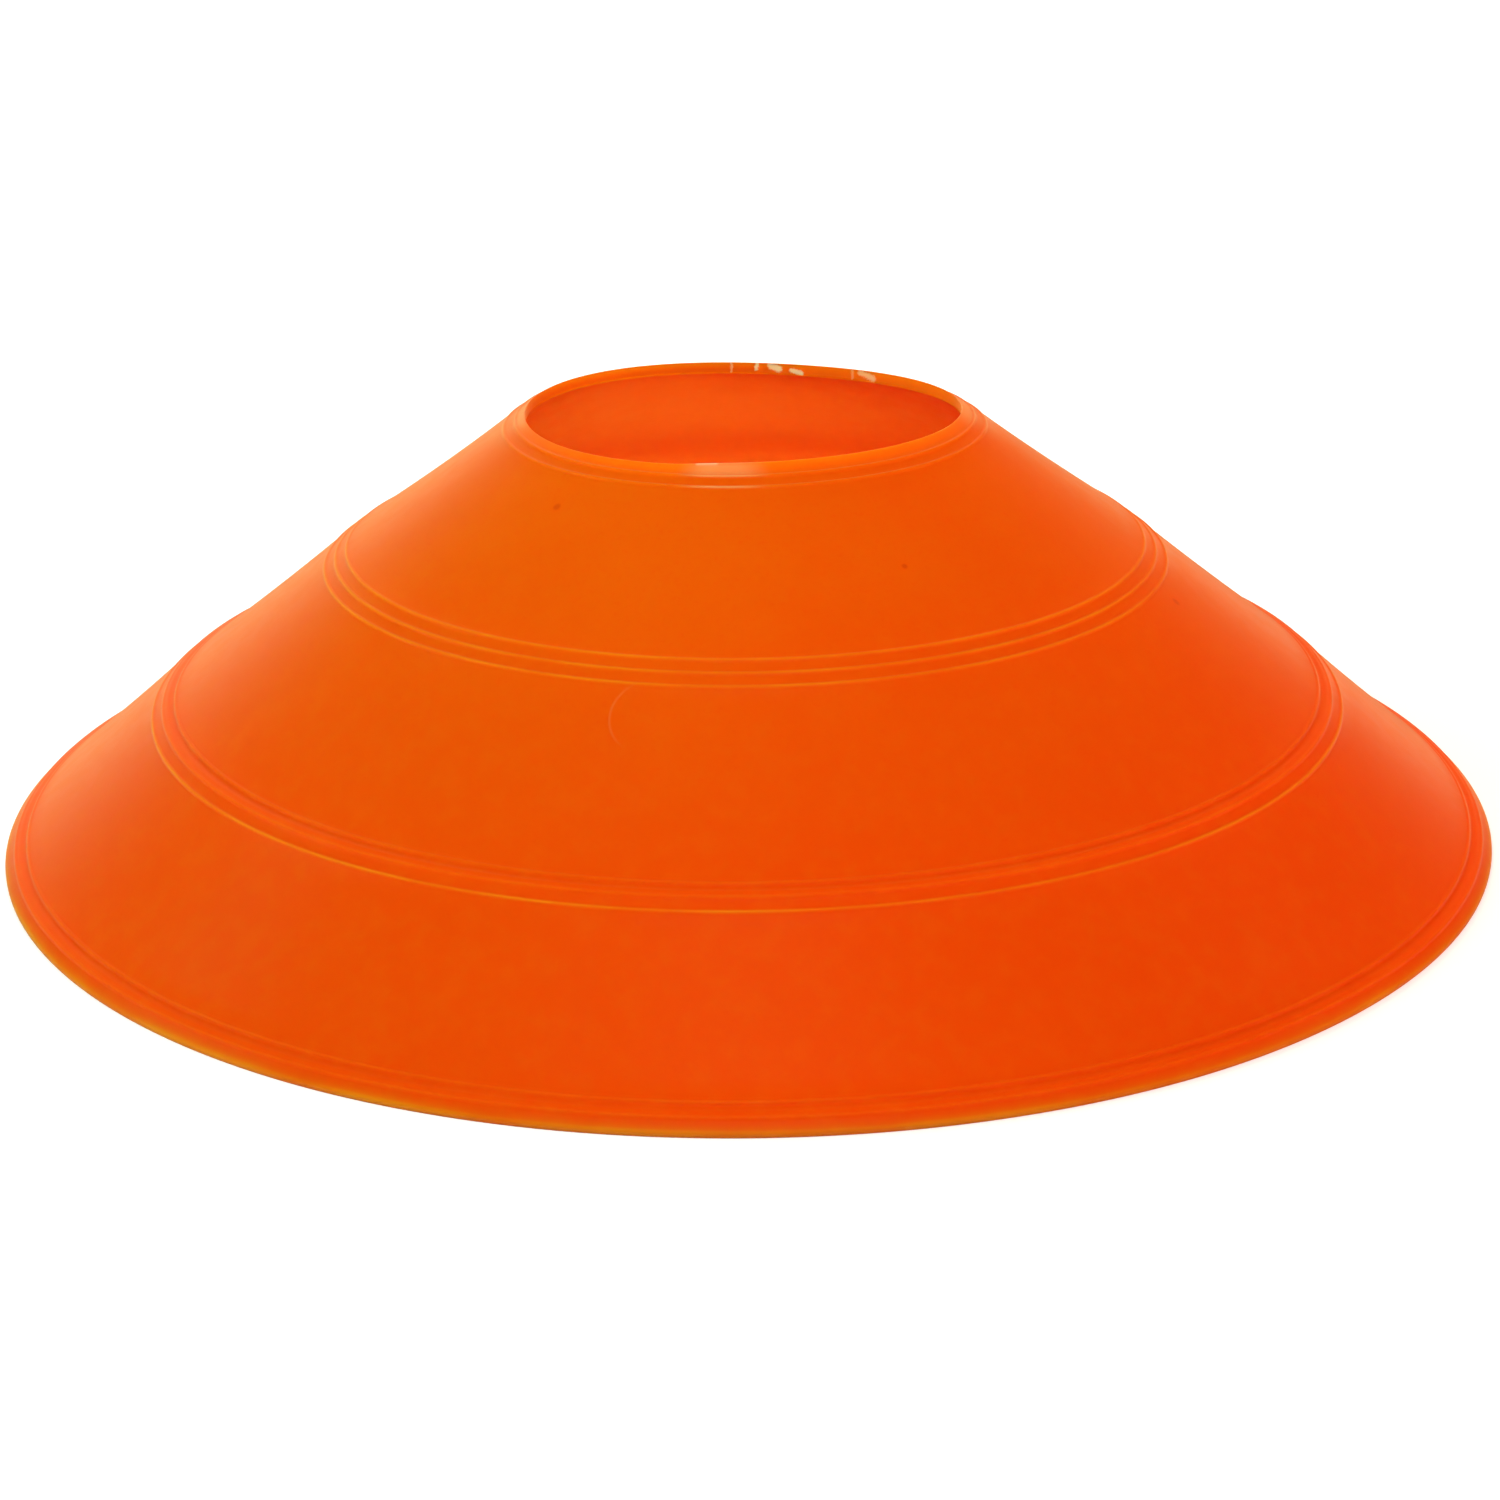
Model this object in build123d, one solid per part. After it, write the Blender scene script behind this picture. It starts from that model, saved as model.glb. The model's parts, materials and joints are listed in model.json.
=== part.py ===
from build123d import *
import math
import os

# Sports marker cone of the low disc kind: one soft plastic moulding, a hollow cone in
# three tiers, open underneath and at the top. Millimetres, with the cone's axis on Z and
# the ground at z = 0. Lengths run down the slope of the outside surface, and slopes are
# degrees from the ground.

# Wall of the moulding, and the edge of the hole at the top
wall = 1.25
bore_radius = 27.0
lip_corner_break = 0.2
lip_land_length = 1.4

# Bands: sets of fine raised beads that ring the cone between its panels
bead_width = 0.8
bead_height = 0.16
bead_gap = 1.0
top_band_slope_deg = 33.0
upper_band_slope_deg = 37.4

# Ledge at the lower two bands, where the surface steps out after the first bead
ledge_rise = 0.37

# Conical panels, each dished very slightly inwards along its length
top_panel_length = 24.2
top_panel_slope_deg = 35.3
middle_panel_length = 24.0
middle_panel_slope_deg = 38.2
bottom_panel_length = 20.8
bottom_panel_slope_deg = 40.3
panel_dish = 0.15

# Rim: the land below the last bead, and the blunt outside edge with its corners broken
rim_land_length = 1.4
rim_edge_height = 0.55
rim_corner_break = 0.15


def down(slope_deg):
    """Direction that runs outwards and down a slope."""
    return Vector(1, 0, 0).rotate(Axis.Y, slope_deg)


def outward(slope_deg):
    """Direction that stands square out of a slope."""
    return Vector(0, 0, 1).rotate(Axis.Y, slope_deg)


class Outside:
    """Outside of the cone's section, drawn from the hole down to the rim."""

    def __init__(self, start):
        self.at = start
        self.edges = []
        self.panels = []

    def land(self, length, slope_deg, rise=0.0):
        """Straight run down the slope, which may also step out of it."""
        self.straight_to(self.at + down(slope_deg) * length + outward(slope_deg) * rise)

    def bead(self, slope_deg):
        """Fine raised bead: up one flank to its crest and down the other."""
        half = down(slope_deg) * (bead_width / 2)
        lift = outward(slope_deg) * bead_height
        self.straight_to(self.at + half + lift)
        self.straight_to(self.at + half - lift)

    def panel(self, length, slope_deg):
        """Long conical panel, dished inwards."""
        start = self.at
        end = start + down(slope_deg) * length
        middle = (start + end) / 2 - outward(slope_deg) * panel_dish
        self.edges.append(ThreePointArc(start, middle, end))
        self.panels.append((start, end, slope_deg))
        self.at = end

    def straight_to(self, point):
        self.edges.append(Line(self.at, point))
        self.at = point


def draw_outside():
    """Lip, then three tiers of band and panel, then the rim."""
    outside = Outside(Vector(bore_radius, 0, 0))

    outside.land(lip_land_length, top_band_slope_deg)
    outside.bead(top_band_slope_deg)
    outside.land(bead_gap, top_band_slope_deg)
    outside.bead(top_band_slope_deg)
    outside.panel(top_panel_length, top_panel_slope_deg)

    outside.bead(upper_band_slope_deg)
    outside.land(bead_gap, upper_band_slope_deg)
    outside.bead(upper_band_slope_deg)
    outside.land(bead_gap, upper_band_slope_deg)
    outside.bead(upper_band_slope_deg)
    outside.panel(middle_panel_length, middle_panel_slope_deg)

    outside.bead(middle_panel_slope_deg)
    outside.land(bead_gap, middle_panel_slope_deg, ledge_rise)
    outside.bead(bottom_panel_slope_deg)
    outside.land(bead_gap, bottom_panel_slope_deg)
    outside.bead(bottom_panel_slope_deg)
    outside.panel(bottom_panel_length, bottom_panel_slope_deg)

    outside.bead(bottom_panel_slope_deg)
    outside.land(bead_gap, bottom_panel_slope_deg, ledge_rise)
    outside.bead(bottom_panel_slope_deg)
    outside.land(rim_land_length, bottom_panel_slope_deg)
    outside.straight_to(outside.at - Vector(0, 0, rim_edge_height))
    return outside


def inside_points(panels, ground_z):
    """Inside of the section from the ground up: each panel again, one wall further in."""
    points = []
    for start, end, slope_deg in reversed(panels):
        inwards = outward(slope_deg) * -wall
        points += [end + inwards, start + inwards]
    height = points[0].Z - ground_z
    run_out = height / math.tan(math.radians(bottom_panel_slope_deg))
    points[0] += Vector(run_out, 0, -height)
    return points


def draw_section(outside):
    """The whole section as a face, with the sharp corners of lip and rim broken."""
    lip = Vector(bore_radius, 0, 0)
    foot = outside.at
    lip_depth = wall / math.cos(math.radians(top_band_slope_deg))
    corners = [foot, *inside_points(outside.panels, foot.Z), lip - Vector(0, 0, lip_depth), lip]
    outline = outside.edges + [Line(a, b) for a, b in zip(corners, corners[1:])]
    section = Face(Wire(outline))
    rim_edge = foot + Vector(0, 0, rim_edge_height)
    breaks = [(lip, lip_corner_break), (rim_edge, rim_corner_break), (foot, rim_corner_break)]
    for corner, length in breaks:
        nearest = section.vertices().sort_by_distance(corner)[0]
        section = section.chamfer_2d(length, length, [nearest])
    return section


outside = draw_outside()
section = draw_section(outside)
marker_cone = Pos(0, 0, -outside.at.Z) * revolve(section, Axis.Z, 360)

os.makedirs("parts", exist_ok=True)
export_step(marker_cone, "parts/marker_cone.step")

bore_wall = marker_cone.faces().filter_by(GeomType.CYLINDER).sort_by(SortBy.RADIUS)[0]
bore_box = bore_wall.bounding_box()
ground_ring = marker_cone.faces().sort_by(Axis.Z)[0].bounding_box()
whole = marker_cone.bounding_box()
print("outside diameter", round(whole.size.X, 3), "height", round(whole.size.Z, 3))
print("bore wall from", round(bore_box.min.Z, 3), "to", round(bore_box.max.Z, 3))
print("ground ring out to", round(ground_ring.max.X, 3), "volume", round(marker_cone.volume, 1))
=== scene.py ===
import json
import math

import bpy
import numpy as np
from mathutils import Matrix, Vector


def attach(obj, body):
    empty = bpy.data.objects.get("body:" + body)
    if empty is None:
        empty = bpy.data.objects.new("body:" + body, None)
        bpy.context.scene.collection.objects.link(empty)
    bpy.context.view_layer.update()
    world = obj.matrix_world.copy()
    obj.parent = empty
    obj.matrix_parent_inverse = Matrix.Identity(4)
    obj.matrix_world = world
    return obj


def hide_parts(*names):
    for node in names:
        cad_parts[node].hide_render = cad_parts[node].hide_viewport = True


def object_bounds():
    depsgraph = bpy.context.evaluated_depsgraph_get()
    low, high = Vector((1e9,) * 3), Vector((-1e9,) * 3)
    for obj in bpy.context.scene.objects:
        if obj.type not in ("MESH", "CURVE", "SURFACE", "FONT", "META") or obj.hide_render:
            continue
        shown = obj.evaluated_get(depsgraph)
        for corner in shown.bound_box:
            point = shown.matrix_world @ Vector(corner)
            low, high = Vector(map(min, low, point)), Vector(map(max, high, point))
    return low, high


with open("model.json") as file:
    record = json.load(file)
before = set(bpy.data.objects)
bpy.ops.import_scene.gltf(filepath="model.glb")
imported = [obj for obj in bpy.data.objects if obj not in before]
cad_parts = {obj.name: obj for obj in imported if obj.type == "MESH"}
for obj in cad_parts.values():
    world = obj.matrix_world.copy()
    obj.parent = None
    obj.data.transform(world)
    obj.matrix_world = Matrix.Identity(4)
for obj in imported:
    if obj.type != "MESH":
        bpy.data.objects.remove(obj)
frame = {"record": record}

# Sports marker cone of the low disc kind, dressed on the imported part: the soft moulding with
# its fine beads, its mouth cut by knife and a little out of round, and its orange plastic.
# Metres, in the frame's axes: the cone's axis on Z, the ground at z = 0, the camera at -Y.

MM = 0.001
CONE = "marker_cone"

cad_low, cad_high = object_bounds()
mounts = {mount["name"]: mount for mount in frame["record"]["mounts"]}
bore_radius = mounts["top_hole"]["dims"]["r_mm"] * MM
height = cad_high.z


# ------------------------------------------------------------------ sizes of the moulding
# Lengths run down the slope of the outside, and slopes are degrees from the ground.

wall = 1.25 * MM
lip_corner_break = 0.2 * MM
lip_land_length = 1.4 * MM
bead_width = 0.8 * MM
bead_height = 0.16 * MM
bead_gap = 1.0 * MM
top_band_slope = 33.0
upper_band_slope = 37.4
ledge_rise = 0.37 * MM
top_panel_length = 24.2 * MM
top_panel_slope = 35.3
middle_panel_length = 24.0 * MM
middle_panel_slope = 38.2
bottom_panel_length = 20.8 * MM
bottom_panel_slope = 40.3
panel_dish = 0.15 * MM
rim_land_length = 1.4 * MM
rim_edge_height = 0.55 * MM

# How far each corner is eased, along both of its sides
cut_ease = 0.12 * MM
rim_ease = 0.22 * MM

# How pale the lip, the beads and the rim are, from 0 to 1: partly wear and partly painted
# highlight where the crests catch the light, and at the rim painted light from the floor. A bead
# is pale along its crest.
lip_corner_paling = 0.1
faint_paling = 0.15
slight_paling = 0.2
some_paling = 0.3
heavy_paling = 0.9
full_paling = 1.0

# How far the look of the cut edge carries over onto the lip's corner, from 0 to 1
lip_corner_cut = 0.15

# Steps that each stretch of the section is divided into, and steps round the cone
bead_steps = 6
gap_steps = 3
ledge_steps = 5
panel_steps = 11
ease_steps = 3
cut_steps = 5
inside_step_length = 3.0 * MM
round_steps = 540

# The mouth is out of round: waves of one and more a turn on the radius and on the height of its
# edge, as the (cosine, sine) of each in millimetres. They die out down the top tier.
mouth_sink = -0.23 * MM
mouth_radius_waves = [(-0.29, -0.12), (0.45, -0.24), (0.39, 0.17), (-0.05, 0.04)]
mouth_height_waves = [(-0.01, 0.21), (0.02, -0.13), (0.03, 0.08)]
mouth_fade_length = 28.0 * MM

# The knife that cut the mouth ran off centre and drifted, so the cut's end misses its start
cut_start_deg = -103.0
cut_drift = 0.33 * MM
cut_off_centre = [(0.14, -0.34)]
cut_blend_deg = 5.0

# Nicks in the cut edge, where the gate came away. Each runs from one place to another, given as
# degrees round and millimetres up from the foot of the cut, and has a width and a depth in
# millimetres and a paleness.
# Their paleness is partly whitened plastic and partly painted glint where they catch the light. The
# last, at the front, is a painted glint only
nicks = [
    ((93.4, 0.3), (93.4, 1.4), 0.30, 0.05, 0.40),
    ((86.3, 0.7), (86.0, 1.4), 0.50, 0.14, 0.95),
    ((82.0, 1.2), (79.6, 0.8), 0.85, 0.20, 0.85),
    ((75.8, 0.7), (72.8, 0.4), 0.60, 0.16, 0.85),
    ((56.5, 0.4), (56.5, 1.4), 0.40, 0.08, 0.22),
    ((54.0, 1.2), (49.5, 0.6), 0.75, 0.18, 0.45),
    ((-101.5, 1.5), (-97.5, 1.5), 0.60, 0.12, 1.00),
]


# ------------------------------------------------------------------------------ the section

class Section:
    """Closed section of the wall. Each point has the distance run down from the lip, its paleness
    as a crest (wear and painted highlight), whether it is inside or cut, and how far its corner is
    eased."""

    def __init__(self, radius, level):
        self.at = np.array([radius, level])
        self.run = 0.0
        self.rows = []

    def mark(self, crest=0.0, inside=0.0, cut=0.0, ease=0.0):
        self.rows.append((self.at[0], self.at[1], self.run, crest, inside, cut, ease))

    def mark_again(self, **values):
        """Marks the last point anew, with other values."""
        self.rows.pop()
        self.mark(**values)

    def stretch(self, length, slope, steps, rise=None, crest=None):
        """Runs down a slope. rise and crest give the lift and the crest's paleness, wear and painted
        highlight, at a share of the way.
        """
        angle = math.radians(slope)
        down = np.array([math.cos(angle), -math.sin(angle)])
        outward = np.array([math.sin(angle), math.cos(angle)])
        start, start_run = self.at, self.run
        for step in range(1, steps + 1):
            share = step / steps
            lift = rise(share) if rise else 0.0
            self.at = start + down * length * share + outward * lift
            self.run = start_run + length * share
            self.mark(crest(share) if crest else 0.0)
        return start, self.at, slope


def hump(share):
    return 0.5 - 0.5 * math.cos(2 * math.pi * share)


def smooth(share):
    share = min(max(share, 0.0), 1.0)
    return share * share * (3 - 2 * share)


def bead(section, slope, crest_paling):
    section.stretch(
        bead_width, slope, bead_steps, lambda t: bead_height * hump(t), lambda t: crest_paling * hump(t) ** 2)


def gap(section, slope):
    section.stretch(bead_gap, slope, gap_steps)


def ledge(section, slope):
    section.stretch(bead_gap, slope, ledge_steps, lambda t: ledge_rise * smooth(t))


def panel(section, length, slope):
    return section.stretch(length, slope, panel_steps, lambda t: -4 * panel_dish * t * (1 - t))


def draw_outside(section):
    """Lip, then three tiers of band and panel, then the rim. Gives the panels."""
    section.mark(crest=lip_corner_paling, cut=lip_corner_cut, ease=cut_ease)
    section.stretch(lip_land_length, top_band_slope, gap_steps, crest=lambda t: slight_paling)
    bead(section, top_band_slope, some_paling)
    gap(section, top_band_slope)
    bead(section, top_band_slope, some_paling)
    top = panel(section, top_panel_length, top_panel_slope)

    bead(section, upper_band_slope, heavy_paling)
    gap(section, upper_band_slope)
    bead(section, upper_band_slope, heavy_paling)
    gap(section, upper_band_slope)
    bead(section, upper_band_slope, heavy_paling)
    middle = panel(section, middle_panel_length, middle_panel_slope)

    bead(section, middle_panel_slope, faint_paling)
    ledge(section, middle_panel_slope)
    bead(section, bottom_panel_slope, slight_paling)
    gap(section, bottom_panel_slope)
    bead(section, bottom_panel_slope, full_paling)
    bottom = panel(section, bottom_panel_length, bottom_panel_slope)

    bead(section, bottom_panel_slope, faint_paling)
    ledge(section, bottom_panel_slope)
    bead(section, bottom_panel_slope, faint_paling)
    section.stretch(rim_land_length, bottom_panel_slope, gap_steps, crest=lambda t: t ** 2)
    return [top, middle, bottom]


def draw_inside(section, panels):
    """Rim edge, ground ring, then each panel again one wall further in, and the cut edge."""
    # The rim's edge is pale: painted light from the floor
    section.mark_again(crest=full_paling, ease=rim_ease)
    section.at = section.at - np.array([0.0, rim_edge_height])
    section.mark(crest=full_paling, ease=rim_ease)
    ground = section.at[1]

    corners = []
    for start, end, slope in reversed(panels):
        angle = math.radians(slope)
        inwards = np.array([math.sin(angle), math.cos(angle)]) * -wall
        corners += [end + inwards, start + inwards]
    drop = corners[0][1] - ground
    slope = math.radians(bottom_panel_slope)
    corners[0] = corners[0] + np.array([drop / math.tan(slope), -drop])
    top_corner = np.array([bore_radius, section.rows[0][1]])
    lip_depth = wall / math.cos(math.radians(top_band_slope))
    corners.append(top_corner - np.array([0.0, lip_depth]))

    section.at = corners[0]
    section.mark(inside=1.0, ease=rim_ease)
    for low, high in zip(corners, corners[1:]):
        length = np.linalg.norm(high - low)
        steps = max(gap_steps, round(length / inside_step_length))
        for step in range(1, steps + 1):
            section.at = low + (high - low) * step / steps
            section.run = max(0.0, section.at[0] - bore_radius) / math.cos(slope)
            section.mark(inside=1.0)
    section.mark_again(inside=1.0, cut=1.0, ease=cut_ease)
    low = section.at
    for step in range(1, cut_steps):
        section.at = low + (top_corner - low) * step / cut_steps
        section.mark(cut=1.0)


def ease_corners(rows):
    """The same closed section with each marked corner turned into a short curve."""
    eased = []
    for index, row in enumerate(rows):
        ease = row[-1]
        corner = np.array(row[:-1])
        if not ease:
            eased.append(corner)
            continue
        sides = []
        for other in (rows[index - 1], rows[(index + 1) % len(rows)]):
            toward = np.array(other[:-1]) - corner
            reach = ease / np.linalg.norm(toward[:2])
            sides.append(corner + toward * min(reach, 0.5))
        for step in range(ease_steps + 1):
            t = step / ease_steps
            curve = sides[0] * (1 - t) ** 2 + corner * 2 * t * (1 - t) + sides[1] * t ** 2
            curve[2:] = corner[2:]
            eased.append(curve)
    return np.array(eased)


def draw_section():
    """The whole section. The frame's top is the lip's corner once it is broken."""
    broken = lip_corner_break * math.sin(math.radians(top_band_slope))
    section = Section(bore_radius, height + broken)
    panels = draw_outside(section)
    draw_inside(section, panels)
    return ease_corners(section.rows)


# --------------------------------------------------------------------------------- the mesh

def waves(table, angle):
    """Sum of the waves in a table, in metres, at each angle."""
    total = np.zeros_like(angle)
    for count, (cosine, sine) in enumerate(table, start=1):
        total += cosine * np.cos(count * angle) + sine * np.sin(count * angle)
    return total * MM


def cut_inwards(angle):
    """How far up the slope from the nominal edge the knife ran, at each angle."""
    turned = np.mod(np.degrees(angle) - cut_start_deg, 360.0)
    nearest = np.minimum(turned, 360.0 - turned)
    spiral = (0.5 - turned / 360.0) * np.tanh(nearest / cut_blend_deg)
    return waves(cut_off_centre, angle) + cut_drift * spiral


def nick_depth(angle):
    """How deep the nicks cut back the edge, at each angle."""
    depth = np.zeros_like(angle)
    for start, end, width, deep, _ in nicks:
        middle = math.radians((start[0] + end[0]) / 2)
        reach = math.radians(abs(start[0] - end[0]) / 2) + width * MM / bore_radius
        away = np.abs(np.angle(np.exp(1j * (angle - middle))))
        depth = np.maximum(depth, deep * MM * np.sqrt(np.clip(1 - away / reach, 0, 1)))
    return depth


def build_cone():
    """Turns the section about Z, with the mouth out of round and nicked."""
    section = draw_section()
    radius, level, run, crest, inside, cut = section.T
    slope = math.radians(top_band_slope)
    cut_foot = level[0] - wall / math.cos(slope)
    angle = np.arange(round_steps) * 2 * math.pi / round_steps
    fade = np.clip(1 - run / mouth_fade_length, 0, 1) ** 3
    edge = np.clip(1 - run / lip_land_length, 0, 1)

    inwards = cut_inwards(angle)[:, None] * edge
    nicked = nick_depth(angle)[:, None] * cut * (1 - inside)
    grown = waves(mouth_radius_waves, angle)[:, None] * fade
    grown = grown - inwards * math.cos(slope) + nicked
    lifted = (mouth_sink + waves(mouth_height_waves, angle))[:, None] * fade
    lifted = lifted + inwards * math.sin(slope)
    rings = radius + grown
    points = np.stack([
        rings * np.cos(angle)[:, None],
        rings * np.sin(angle)[:, None],
        level + lifted,
    ], axis=-1)

    count = len(section)
    here = np.arange(round_steps)[:, None]
    there = (here + 1) % round_steps
    row = np.arange(count)
    ahead = (row + 1) % count
    faces = np.stack([
        here * count + row,
        here * count + ahead,
        there * count + ahead,
        there * count + row,
    ], axis=-1).reshape(-1, 4)

    mesh = bpy.data.meshes.new("cone_shell")
    mesh.from_pydata(points.reshape(-1, 3).tolist(), [], faces.tolist())
    mesh.shade_smooth()
    marks = {
        "crest": crest,
        "inside": inside,
        "cut": cut,
        "climb": (level - cut_foot) / MM,
    }
    for name, values in marks.items():
        layer = mesh.attributes.new(name, "FLOAT", "POINT")
        everywhere = np.broadcast_to(values, rings.shape)
        layer.data.foreach_set("value", everywhere.astype(np.float32).ravel())

    piece = bpy.data.objects.new("cone_shell", mesh)
    bpy.context.scene.collection.objects.link(piece)
    return piece


# ---------------------------------------------------------------------------- shader graphs

class Graph:
    """Makes and joins the shader nodes of one material or world."""

    def __init__(self, owner):
        owner.use_nodes = True
        self.tree = owner.node_tree
        self.tree.nodes.clear()

    def node(self, kind, inputs=None, **settings):
        made = self.tree.nodes.new("ShaderNode" + kind)
        for name, value in settings.items():
            setattr(made, name, value)
        for key, value in (inputs or {}).items():
            if isinstance(value, bpy.types.NodeSocket):
                self.tree.links.new(value, made.inputs[key])
            else:
                made.inputs[key].default_value = value
        return made

    def math(self, operation, a, b=0.0, clamp=False):
        return self.node("Math", {0: a, 1: b}, operation=operation, use_clamp=clamp).outputs[0]

    def vector(self, operation, a, b):
        return self.node("VectorMath", {0: a, 1: b}, operation=operation).outputs[0]

    def distance(self, a, b):
        return self.node("VectorMath", {0: a, 1: b}, operation="DISTANCE").outputs["Value"]

    def off_stroke(self, where, start, end):
        """Distance of a place from the straight line between two others."""
        start, along = Vector(start), Vector(end) - Vector(start)
        offset = self.vector("SUBTRACT", where, start)
        reach = self.node("VectorMath", {0: offset, 1: along}, operation="DOT_PRODUCT")
        share = self.math("DIVIDE", reach.outputs["Value"], along.length_squared, clamp=True)
        foot = self.node("VectorMath", {0: along, 1: share, 2: start}, operation="MULTIPLY_ADD")
        return self.distance(where, foot.outputs[0])

    def noise(self, where, scale, detail=2.0, roughness=0.5):
        values = {"Vector": where, "Scale": scale, "Detail": detail, "Roughness": roughness}
        return self.node("TexNoise", values).outputs["Fac"]

    def between(self, value, low, high, out_low=0.0, out_high=1.0):
        """Smooth step of a value, from one result at low to another at high."""
        values = {"Value": value, "From Min": low, "From Max": high}
        values.update({"To Min": out_low, "To Max": out_high})
        return self.node("MapRange", values, interpolation_type="SMOOTHSTEP").outputs[0]

    def mix(self, factor, a, b):
        """Mix of two colours, which are sockets 6 and 7 of the node."""
        values = {0: factor, 6: a, 7: b}
        return self.node("Mix", values, data_type="RGBA").outputs[2]

    def attribute(self, name):
        return self.node("Attribute", attribute_name=name).outputs["Fac"]

    def finish(self, surface, output="OutputMaterial"):
        ending = self.node(output)
        self.tree.links.new(surface, ending.inputs["Surface"])


def colour(red, green, blue):
    return (red, green, blue, 1.0)


black = colour(0.0, 0.0, 0.0)
white = colour(1.0, 1.0, 1.0)


# ------------------------------------------------------------------------------ the plastic

# The plastic is one colour. The low colour is painted shade and the high colour painted light from
# above
shaded_low_colour = colour(1.0, 0.074, 0.0003)
lit_high_colour = colour(1.0, 0.116, 0.0006)
cloud_colour = colour(1.0, 0.060, 0.0002)
mottle_colour = colour(1.0, 0.130, 0.0012)
grain_colour = colour(1.0, 0.060, 0.0003)
wear_and_highlight_colour = colour(1.0, 0.23, 0.004)
# Painted light: the inside is the same plastic, made redder for light that bounces within the cone
# and passes through the wall
inside_bounce_colour = colour(0.97, 0.044, 0.018)
cut_colour = colour(1.0, 0.150, 0.004)
nick_whitening_and_glint_colour = colour(1.0, 0.80, 0.50)
speck_colour = colour(0.75, 0.036, 0.0002)
# Colour of the painted highlights by the mouth
painted_highlight_colour = colour(1.0, 0.42, 0.16)
scratch_colour = colour(1.0, 0.26, 0.07)
bloom_colour = colour(0.75, 0.62, 0.22)

# Levels in millimetres that the colour fades between: painted shade, darker toward the ground, where
# less light from above falls
shade_from = 10.0
shade_to = 48.0

# Noises, from broad to fine: the scale per millimetre, the span of its values that is used, and
# the most that it shifts the colour
fine_detail = 3.0
cloud_scale = 0.05
cloud_span = (0.35, 0.7)
cloud_share = 0.22
mottle_scale = 0.35
mottle_span = (0.4, 0.75)
mottle_share = 0.22
grain_scale = 1.7
grain_roughness = 0.6
grain_span = (0.5, 0.8)
grain_share = 0.25

# How far the crests' wear and painted highlight show, which changes from patch to patch
patch_scale = 0.09
patch_span = (0.35, 0.65)
least_paling = 0.45
most_paling = 0.85

# Surface. The denoiser takes a roughness under 0.274 for a mirror and darkens the creases.
gloss_span = (0.3, 0.7)
smoothest = 0.285
roughest = 0.335
bump_strength = 0.2
bump_height = 0.05 * MM
refraction = 1.5
outside_shine = 0.35
inside_shine = 0.1
outside_bloom = 0.5
bloom_roughness = 0.3

# How much light passes into the plastic, and how many millimetres its red, green and blue go.
# Less passes near the top of the cut, which is given in millimetres above the cut's foot.
outside_glow = 0.5
outside_depth = colour(9.0, 4.5, 2.0)
inside_depth = colour(12.0, 8.0, 4.0)
veil_from = 0.9
veil_to = 1.5
veiled_share = 0.3

# Small marks on the outside: degrees round, radius, level and size of each dark speck and each
# painted highlight, in millimetres, and how pale a painted highlight is on the beads and the lip and
# elsewhere. The painted highlights stand for light caught by the first bead at the front and for
# reflections at the two ends of the lip. Each is at its full strength over the core, a share of its
# size. The scratch is part of a ring.
specks = [(-130.0, 34.4, 47.2, 0.7), (-63.5, 41.0, 42.6, 0.5), (-19.0, 55.5, 31.95, 0.8)]
painted_highlights = [
    (-95.0, 28.5, 51.3, 6.0, 0.6, 0.0),
    (180.0, 28.0, 51.6, 8.0, 0.45, 0.12),
    (0.0, 28.0, 51.6, 8.0, 0.55, 0.2),
]
speck_darkness = 0.6
spot_core = 0.3
scratch_heart = (-100.6, 56.4, 31.2)
scratch_radius = 4.9
scratch_middle = (-105.0, 56.4, 31.2)
scratch_reach = 5.0
scratch_core = 0.04
scratch_half_width = 0.22
scratch_paleness = 0.22

# A nick is at its palest out to one share of its width and ends at another. Its outline is torn
# by a noise, by up to the reach in millimetres.
nick_core = 0.25
nick_end = 0.75
tear_scale = 3.5
tear_span = (0.3, 0.7)
tear_reach = 0.09

# How much crest or cut makes a place count wholly as an edge
edge_share = 0.3


def spot(degrees, radius, level):
    """A place on the cone, in millimetres."""
    angle = math.radians(degrees)
    return (radius * math.cos(angle), radius * math.sin(angle), level)


def small_marks(graph, in_mm, edges, base):
    """The dark specks, the painted highlights and the hairline scratch, laid over a colour."""
    marked = base
    for *where, size in specks:
        away = graph.distance(in_mm, spot(*where))
        dark = graph.between(away, size * spot_core, size, speck_darkness, 0.0)
        marked = graph.mix(dark, marked, speck_colour)
    # Painted highlights: pale patches for light caught by the front bead and reflected at the lip's
    # ends
    for *where, size, on_edges, elsewhere in painted_highlights:
        away = graph.distance(in_mm, spot(*where))
        near = graph.between(away, size * spot_core, size, 1.0, 0.0)
        pale = graph.between(edges, 0.0, edge_share, elsewhere, on_edges)
        marked = graph.mix(graph.math("MULTIPLY", near, pale), marked, painted_highlight_colour)
    off_heart = graph.distance(in_mm, spot(*scratch_heart))
    off_line = graph.math("ABSOLUTE", graph.math("SUBTRACT", off_heart, scratch_radius))
    line = graph.between(off_line, scratch_core, scratch_half_width, scratch_paleness, 0.0)
    off_middle = graph.distance(in_mm, spot(*scratch_middle))
    part = graph.between(off_middle, scratch_reach / 2, scratch_reach, 1.0, 0.0)
    return graph.mix(graph.math("MULTIPLY", line, part), marked, scratch_colour)


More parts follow.
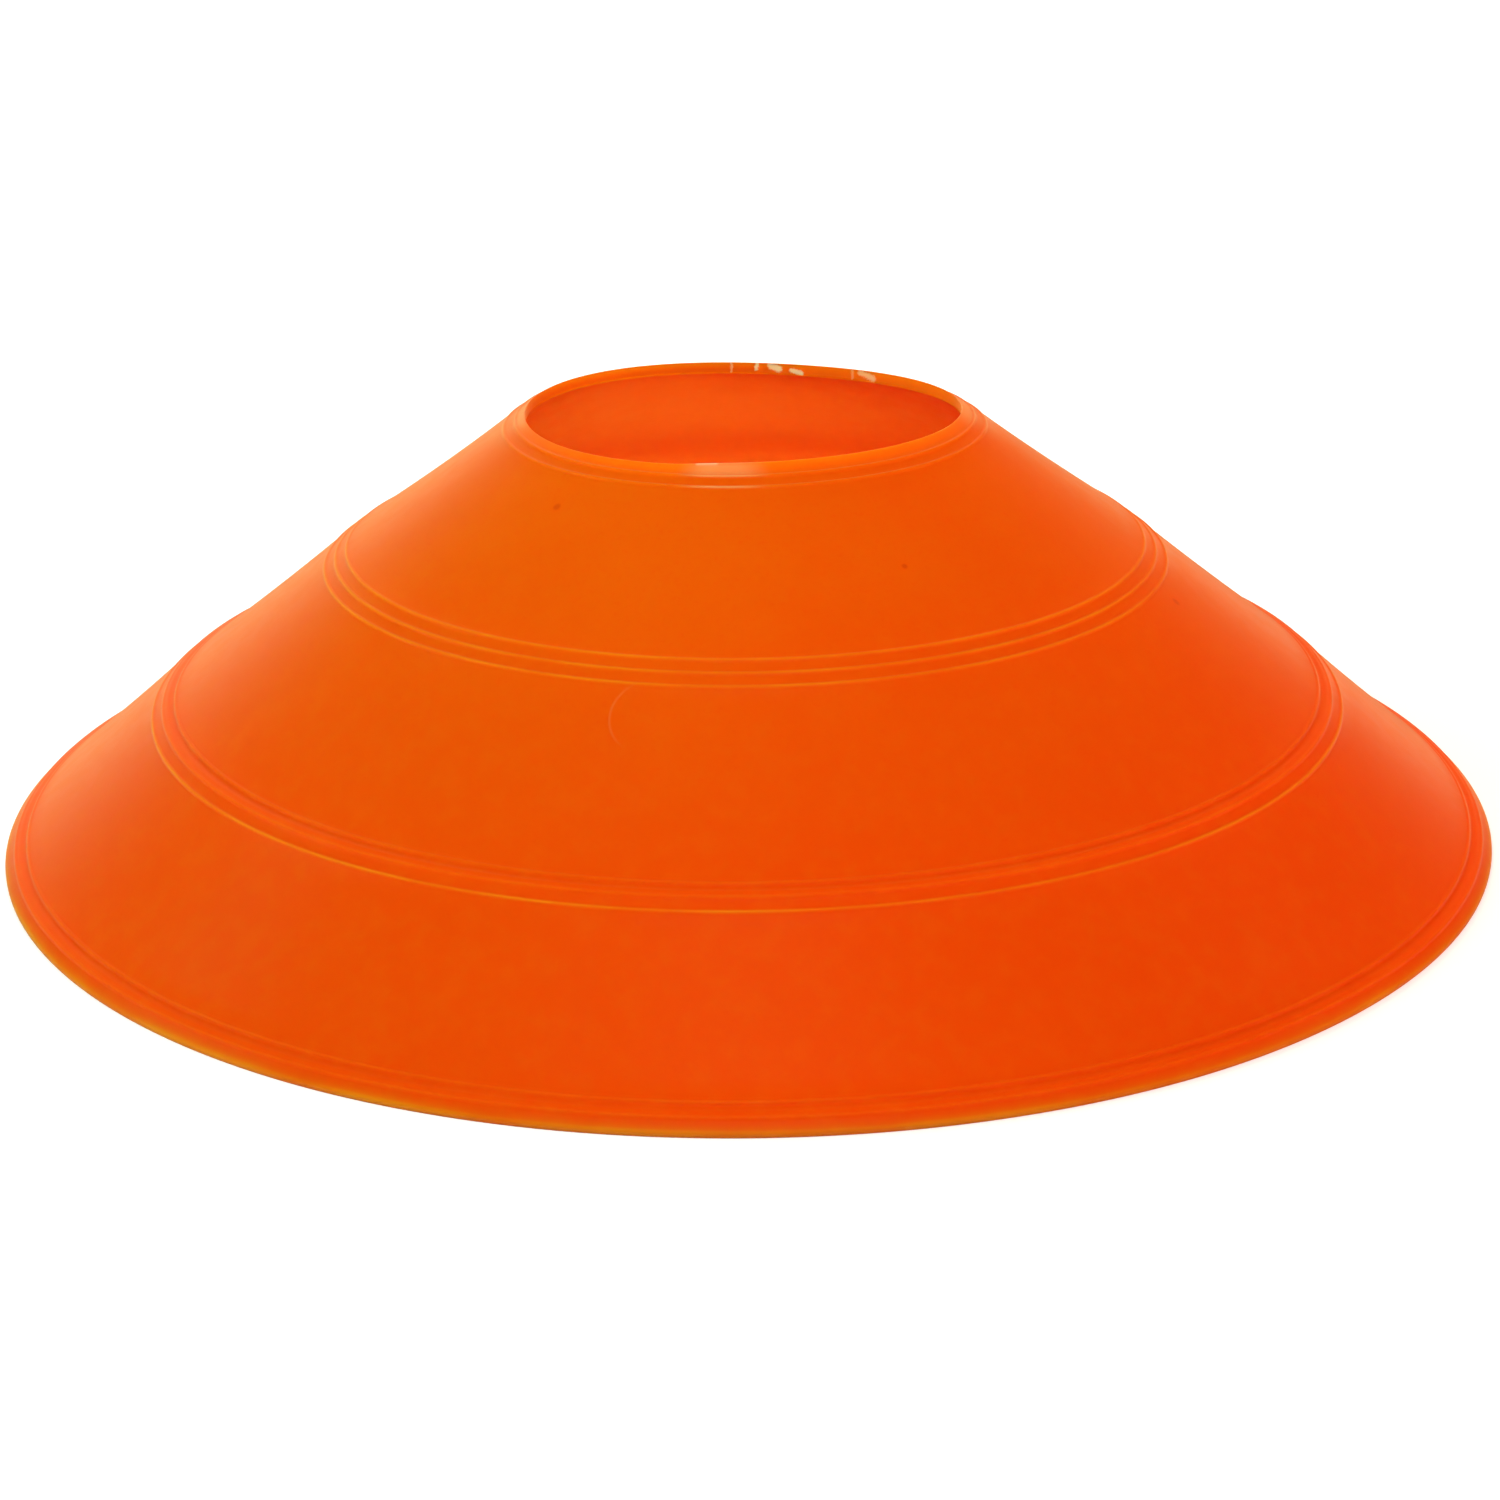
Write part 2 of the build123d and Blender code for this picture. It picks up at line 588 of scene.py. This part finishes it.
def nick_marks(graph, in_mm, cut, climb):
    """How pale the nicks in the cut edge are, from 0 to 1: partly whitened plastic, partly painted
    glint.
    """
    parts = graph.node("SeparateXYZ", {0: in_mm}).outputs
    bearing = graph.math("ARCTAN2", parts["Y"], parts["X"])
    arc = graph.math("MULTIPLY", bearing, bore_radius / MM)
    unrolled = graph.node("CombineXYZ", {0: arc, 1: climb}).outputs[0]
    tear = graph.noise(unrolled, tear_scale)
    torn = graph.between(tear, *tear_span, -tear_reach, tear_reach)
    whitened_and_glinting = 0.0
    for start, end, width, _, paleness in nicks:
        ends = [(math.radians(turn) * bore_radius / MM, up, 0.0) for turn, up in (start, end)]
        away = graph.math("ADD", graph.off_stroke(unrolled, *ends), torn)
        pale = graph.between(away, width * nick_core, width * nick_end, paleness, 0.0)
        whitened_and_glinting = graph.math("MAXIMUM", whitened_and_glinting, pale)
    return graph.math("MULTIPLY", whitened_and_glinting, graph.between(cut, 0.0, edge_share))


def cone_plastic():
    """Satin orange polyethylene that lets red light through its thin wall."""
    material = bpy.data.materials.new("cone_plastic")
    graph = Graph(material)
    place = graph.node("TexCoord").outputs["Object"]
    in_mm = graph.vector("MULTIPLY", place, (1 / MM, 1 / MM, 1 / MM))
    level = graph.node("SeparateXYZ", {0: in_mm}).outputs["Z"]

    crest = graph.attribute("crest")
    cut = graph.attribute("cut")
    climb = graph.attribute("climb")
    inside = graph.attribute("inside")

    cloud = graph.noise(in_mm, cloud_scale, detail=fine_detail)
    patches = graph.noise(in_mm, patch_scale)
    mottle = graph.noise(in_mm, mottle_scale, detail=fine_detail)
    grain = graph.noise(in_mm, grain_scale, roughness=grain_roughness)

    # Painted shade: darker toward the ground, paler toward the top
    height_shaded = graph.mix(graph.between(level, shade_from, shade_to), shaded_low_colour, lit_high_colour)
    clouding = graph.between(cloud, *cloud_span, 0.0, cloud_share)
    clouded = graph.mix(clouding, height_shaded, cloud_colour)
    mottling = graph.between(mottle, *mottle_span, 0.0, mottle_share)
    mottled = graph.mix(mottling, clouded, mottle_colour)
    graining = graph.between(grain, *grain_span, 0.0, grain_share)
    grained = graph.mix(graining, mottled, grain_colour)
    # Crest paleness: partly wear, partly painted highlight, and painted floor light at the rim
    patchy_paling = graph.between(patches, *patch_span, least_paling, most_paling)
    worn_and_highlit = graph.mix(graph.math("MULTIPLY", crest, patchy_paling), grained, wear_and_highlight_colour)
    marked = small_marks(graph, in_mm, graph.math("MAXIMUM", crest, cut), worn_and_highlit)
    # Painted bounce light on the inside: redder than the outside
    bounce_painted = graph.mix(inside, marked, inside_bounce_colour)
    knifed = graph.mix(graph.math("POWER", cut, 2.0), bounce_painted, cut_colour)
    # Nicks: partly whitened plastic, partly painted glint
    base = graph.mix(nick_marks(graph, in_mm, cut, climb), knifed, nick_whitening_and_glint_colour)

    depth = graph.mix(inside, outside_depth, inside_depth)
    veiled = graph.between(climb, veil_from, veil_to, 1.0, veiled_share)
    glow = graph.math("MULTIPLY", graph.between(inside, 0.0, 1.0, outside_glow, 1.0), veiled)
    shine = graph.between(inside, 0.0, 1.0, outside_shine, inside_shine)
    bloom = graph.between(inside, 0.0, 1.0, outside_bloom, 0.0)
    roughness = graph.between(mottle, *gloss_span, smoothest, roughest)
    bump = graph.node("Bump", {"Height": grain, "Strength": bump_strength, "Distance": bump_height})

    shader = graph.node("BsdfPrincipled", {
        "Base Color": base,
        "Roughness": roughness,
        "Normal": bump.outputs[0],
        "IOR": refraction,
        "Specular IOR Level": shine,
        "Subsurface Weight": glow,
        "Subsurface Radius": depth,
        "Subsurface Scale": MM,
        "Sheen Weight": bloom,
        "Sheen Roughness": bloom_roughness,
        "Sheen Tint": bloom_colour,
    })
    graph.finish(shader.outputs[0])
    return material


# ---------------------------------------------------------------------------------- the floor

floor_half_width = 3.0
fibre_scale = 900.0
fibre_dark = colour(0.79, 0.79, 0.79)
fibre_light = colour(0.81, 0.81, 0.81)

# What reflections lose of the paper's brightness
mirror_loss = 0.7

# Light that the paper adds where the camera sees it, which is more far from the cone, in metres
near_glow = 0.4
far_glow = 1.0
near_distance = 0.35
far_distance = 1.0


def floor_paper():
    """White paper: pure white where it is lit, with the cone's shadow left on it."""
    material = bpy.data.materials.new("floor_paper")
    graph = Graph(material)
    place = graph.node("TexCoord").outputs["Object"]
    fibre = graph.noise(place, fibre_scale, detail=fine_detail)
    paper = graph.mix(fibre, fibre_dark, fibre_light)
    rays = graph.node("LightPath")
    mirrored = graph.math("MULTIPLY", rays.outputs["Is Glossy Ray"], mirror_loss)
    dimmed = graph.mix(mirrored, paper, black)
    diffuse = graph.node("BsdfDiffuse", {"Color": dimmed})
    away = graph.distance(place, (0, 0, 0))
    far = graph.between(away, near_distance, far_distance, near_glow, far_glow)
    seen = graph.math("MULTIPLY", rays.outputs["Is Camera Ray"], far)
    glow = graph.node("Emission", {"Strength": seen})
    both = graph.node("AddShader", {0: diffuse.outputs[0], 1: glow.outputs[0]})
    graph.finish(both.outputs[0])
    return material


def lay_floor():
    mesh = bpy.data.meshes.new("floor")
    reach = floor_half_width
    corners = [(-reach, -reach, 0), (reach, -reach, 0), (reach, reach, 0), (-reach, reach, 0)]
    mesh.from_pydata(corners, [], [(0, 1, 2, 3)])
    mesh.materials.append(floor_paper())
    floor = bpy.data.objects.new("floor", mesh)
    bpy.context.scene.collection.objects.link(floor)


# ---------------------------------------------------------------------------------- the light

# Light from all round, yellower on the left and redder on the right
world_level = 0.08
left_tint = colour(0.9, 0.78, 0.58)
right_tint = colour(1.0, 0.5, 0.42)

# What reflections find round the set: a wall behind it, brighter on the left and along its
# foot. These are parts of a unit direction: X to the right, Y straight behind and Z up.
side_reach = 0.3
wall_from = 0.55
wall_to = 1.05
foot_rise = (0.0, 0.06)
foot_fall = (0.12, 0.3)

# Brightness of the wall at either side, and how much its foot adds
wall_left_level = 0.36
wall_right_level = 0.05
foot_gain = 0.8

# Square lamps: name, place, width, power and tint of each
lamps = [
    ("front_right", (0.6, -0.7, 0.7), 0.6, 4.0, (1, 0.85, 0.75)),
    ("front_near", (0, -0.35, 0.42), 0.3, 0.9, (1, 1, 1)),
    ("left", (-0.95, 0, 0.45), 0.6, 9.4, (0.77, 1, 0.84)),
    ("right", (0.95, 0, 0.45), 0.6, 4.8, (1, 0.29, 0.15)),
    ("back", (0, 0.95, 0.5), 0.6, 15.5, (1, 0.68, 0.52)),
]


def light_world():
    """White to the camera, the tinted wall to reflections, and a dim tinted light to the rest."""
    world = bpy.data.worlds.new("studio")
    bpy.context.scene.world = world
    graph = Graph(world)
    rays = graph.node("LightPath")
    direction = graph.node("TexCoord").outputs["Generated"]
    parts = graph.node("SeparateXYZ", {0: direction}).outputs

    sides = (-side_reach, side_reach)
    sideways = graph.between(parts["X"], *sides, wall_left_level, wall_right_level)
    behind = graph.between(parts["Y"], wall_from, wall_to)
    risen = graph.between(parts["Z"], *foot_rise)
    foot = graph.math("MULTIPLY", risen, graph.between(parts["Z"], *foot_fall, 1.0, 0.0))
    gain = graph.math("ADD", 1.0, graph.math("MULTIPLY", foot, foot_gain))
    walls = graph.math("MULTIPLY", gain, graph.math("MULTIPLY", sideways, behind))

    glossy = rays.outputs["Is Glossy Ray"]
    as_light = graph.math("MULTIPLY", graph.math("SUBTRACT", 1.0, glossy), world_level)
    unseen = graph.math("ADD", as_light, graph.math("MULTIPLY", glossy, walls))
    shown = graph.math("MAXIMUM", rays.outputs["Is Camera Ray"], rays.outputs["Is Transmission Ray"])
    level = graph.math("MAXIMUM", shown, unseen)
    side_tint = graph.mix(graph.between(parts["X"], *sides), left_tint, right_tint)
    tint = graph.mix(shown, side_tint, white)
    background = graph.node("Background", {"Color": tint, "Strength": level})
    graph.finish(background.outputs[0], "OutputWorld")


def add_softbox(name, place, size, power, tint):
    """Square lamp that looks at the middle of the cone, left out of reflections."""
    lamp = bpy.data.lights.new(name, "AREA")
    lamp.shape = "SQUARE"
    lamp.size = size
    lamp.energy = power
    lamp.color = tint
    holder = bpy.data.objects.new(name, lamp)
    middle = Vector((0, 0, height / 2))
    holder.location = place
    holder.rotation_euler = (middle - Vector(place)).to_track_quat("-Z", "Y").to_euler()
    holder.visible_glossy = False
    bpy.context.scene.collection.objects.link(holder)


def light_studio():
    light_world()
    for lamp in lamps:
        add_softbox(*lamp)


# ------------------------------------------------------------------------------- the camera
# Found by fitting the rim, the bands and the mouth to the photograph.

lens = 70.407
sensor = 36.0
camera_back = 359.99 * MM
camera_height = 140.60 * MM
camera_pitch_deg = 20.4185
camera_yaw_deg = 0.050
camera_roll_deg = -0.6169


def add_camera():
    data = bpy.data.cameras.new("camera")
    data.lens = lens
    data.sensor_width = sensor
    camera = bpy.data.objects.new("camera", data)
    turn = Matrix.Rotation(-math.radians(camera_yaw_deg), 4, "Z")
    tip = Matrix.Rotation(math.radians(90 - camera_pitch_deg), 4, "X")
    roll = Matrix.Rotation(math.radians(camera_roll_deg), 4, "Z")
    place = Matrix.Translation((0, -camera_back, camera_height))
    camera.matrix_world = place @ turn @ tip @ roll
    bpy.context.scene.collection.objects.link(camera)
    bpy.context.scene.camera = camera


# ---------------------------------------------------------------------------------- the set

add_camera()
lay_floor()
light_studio()

cone = build_cone()
cone.data.materials.append(cone_plastic())
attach(cone, "root")
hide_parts(CONE)

bpy.context.scene.view_settings.view_transform = "Standard"
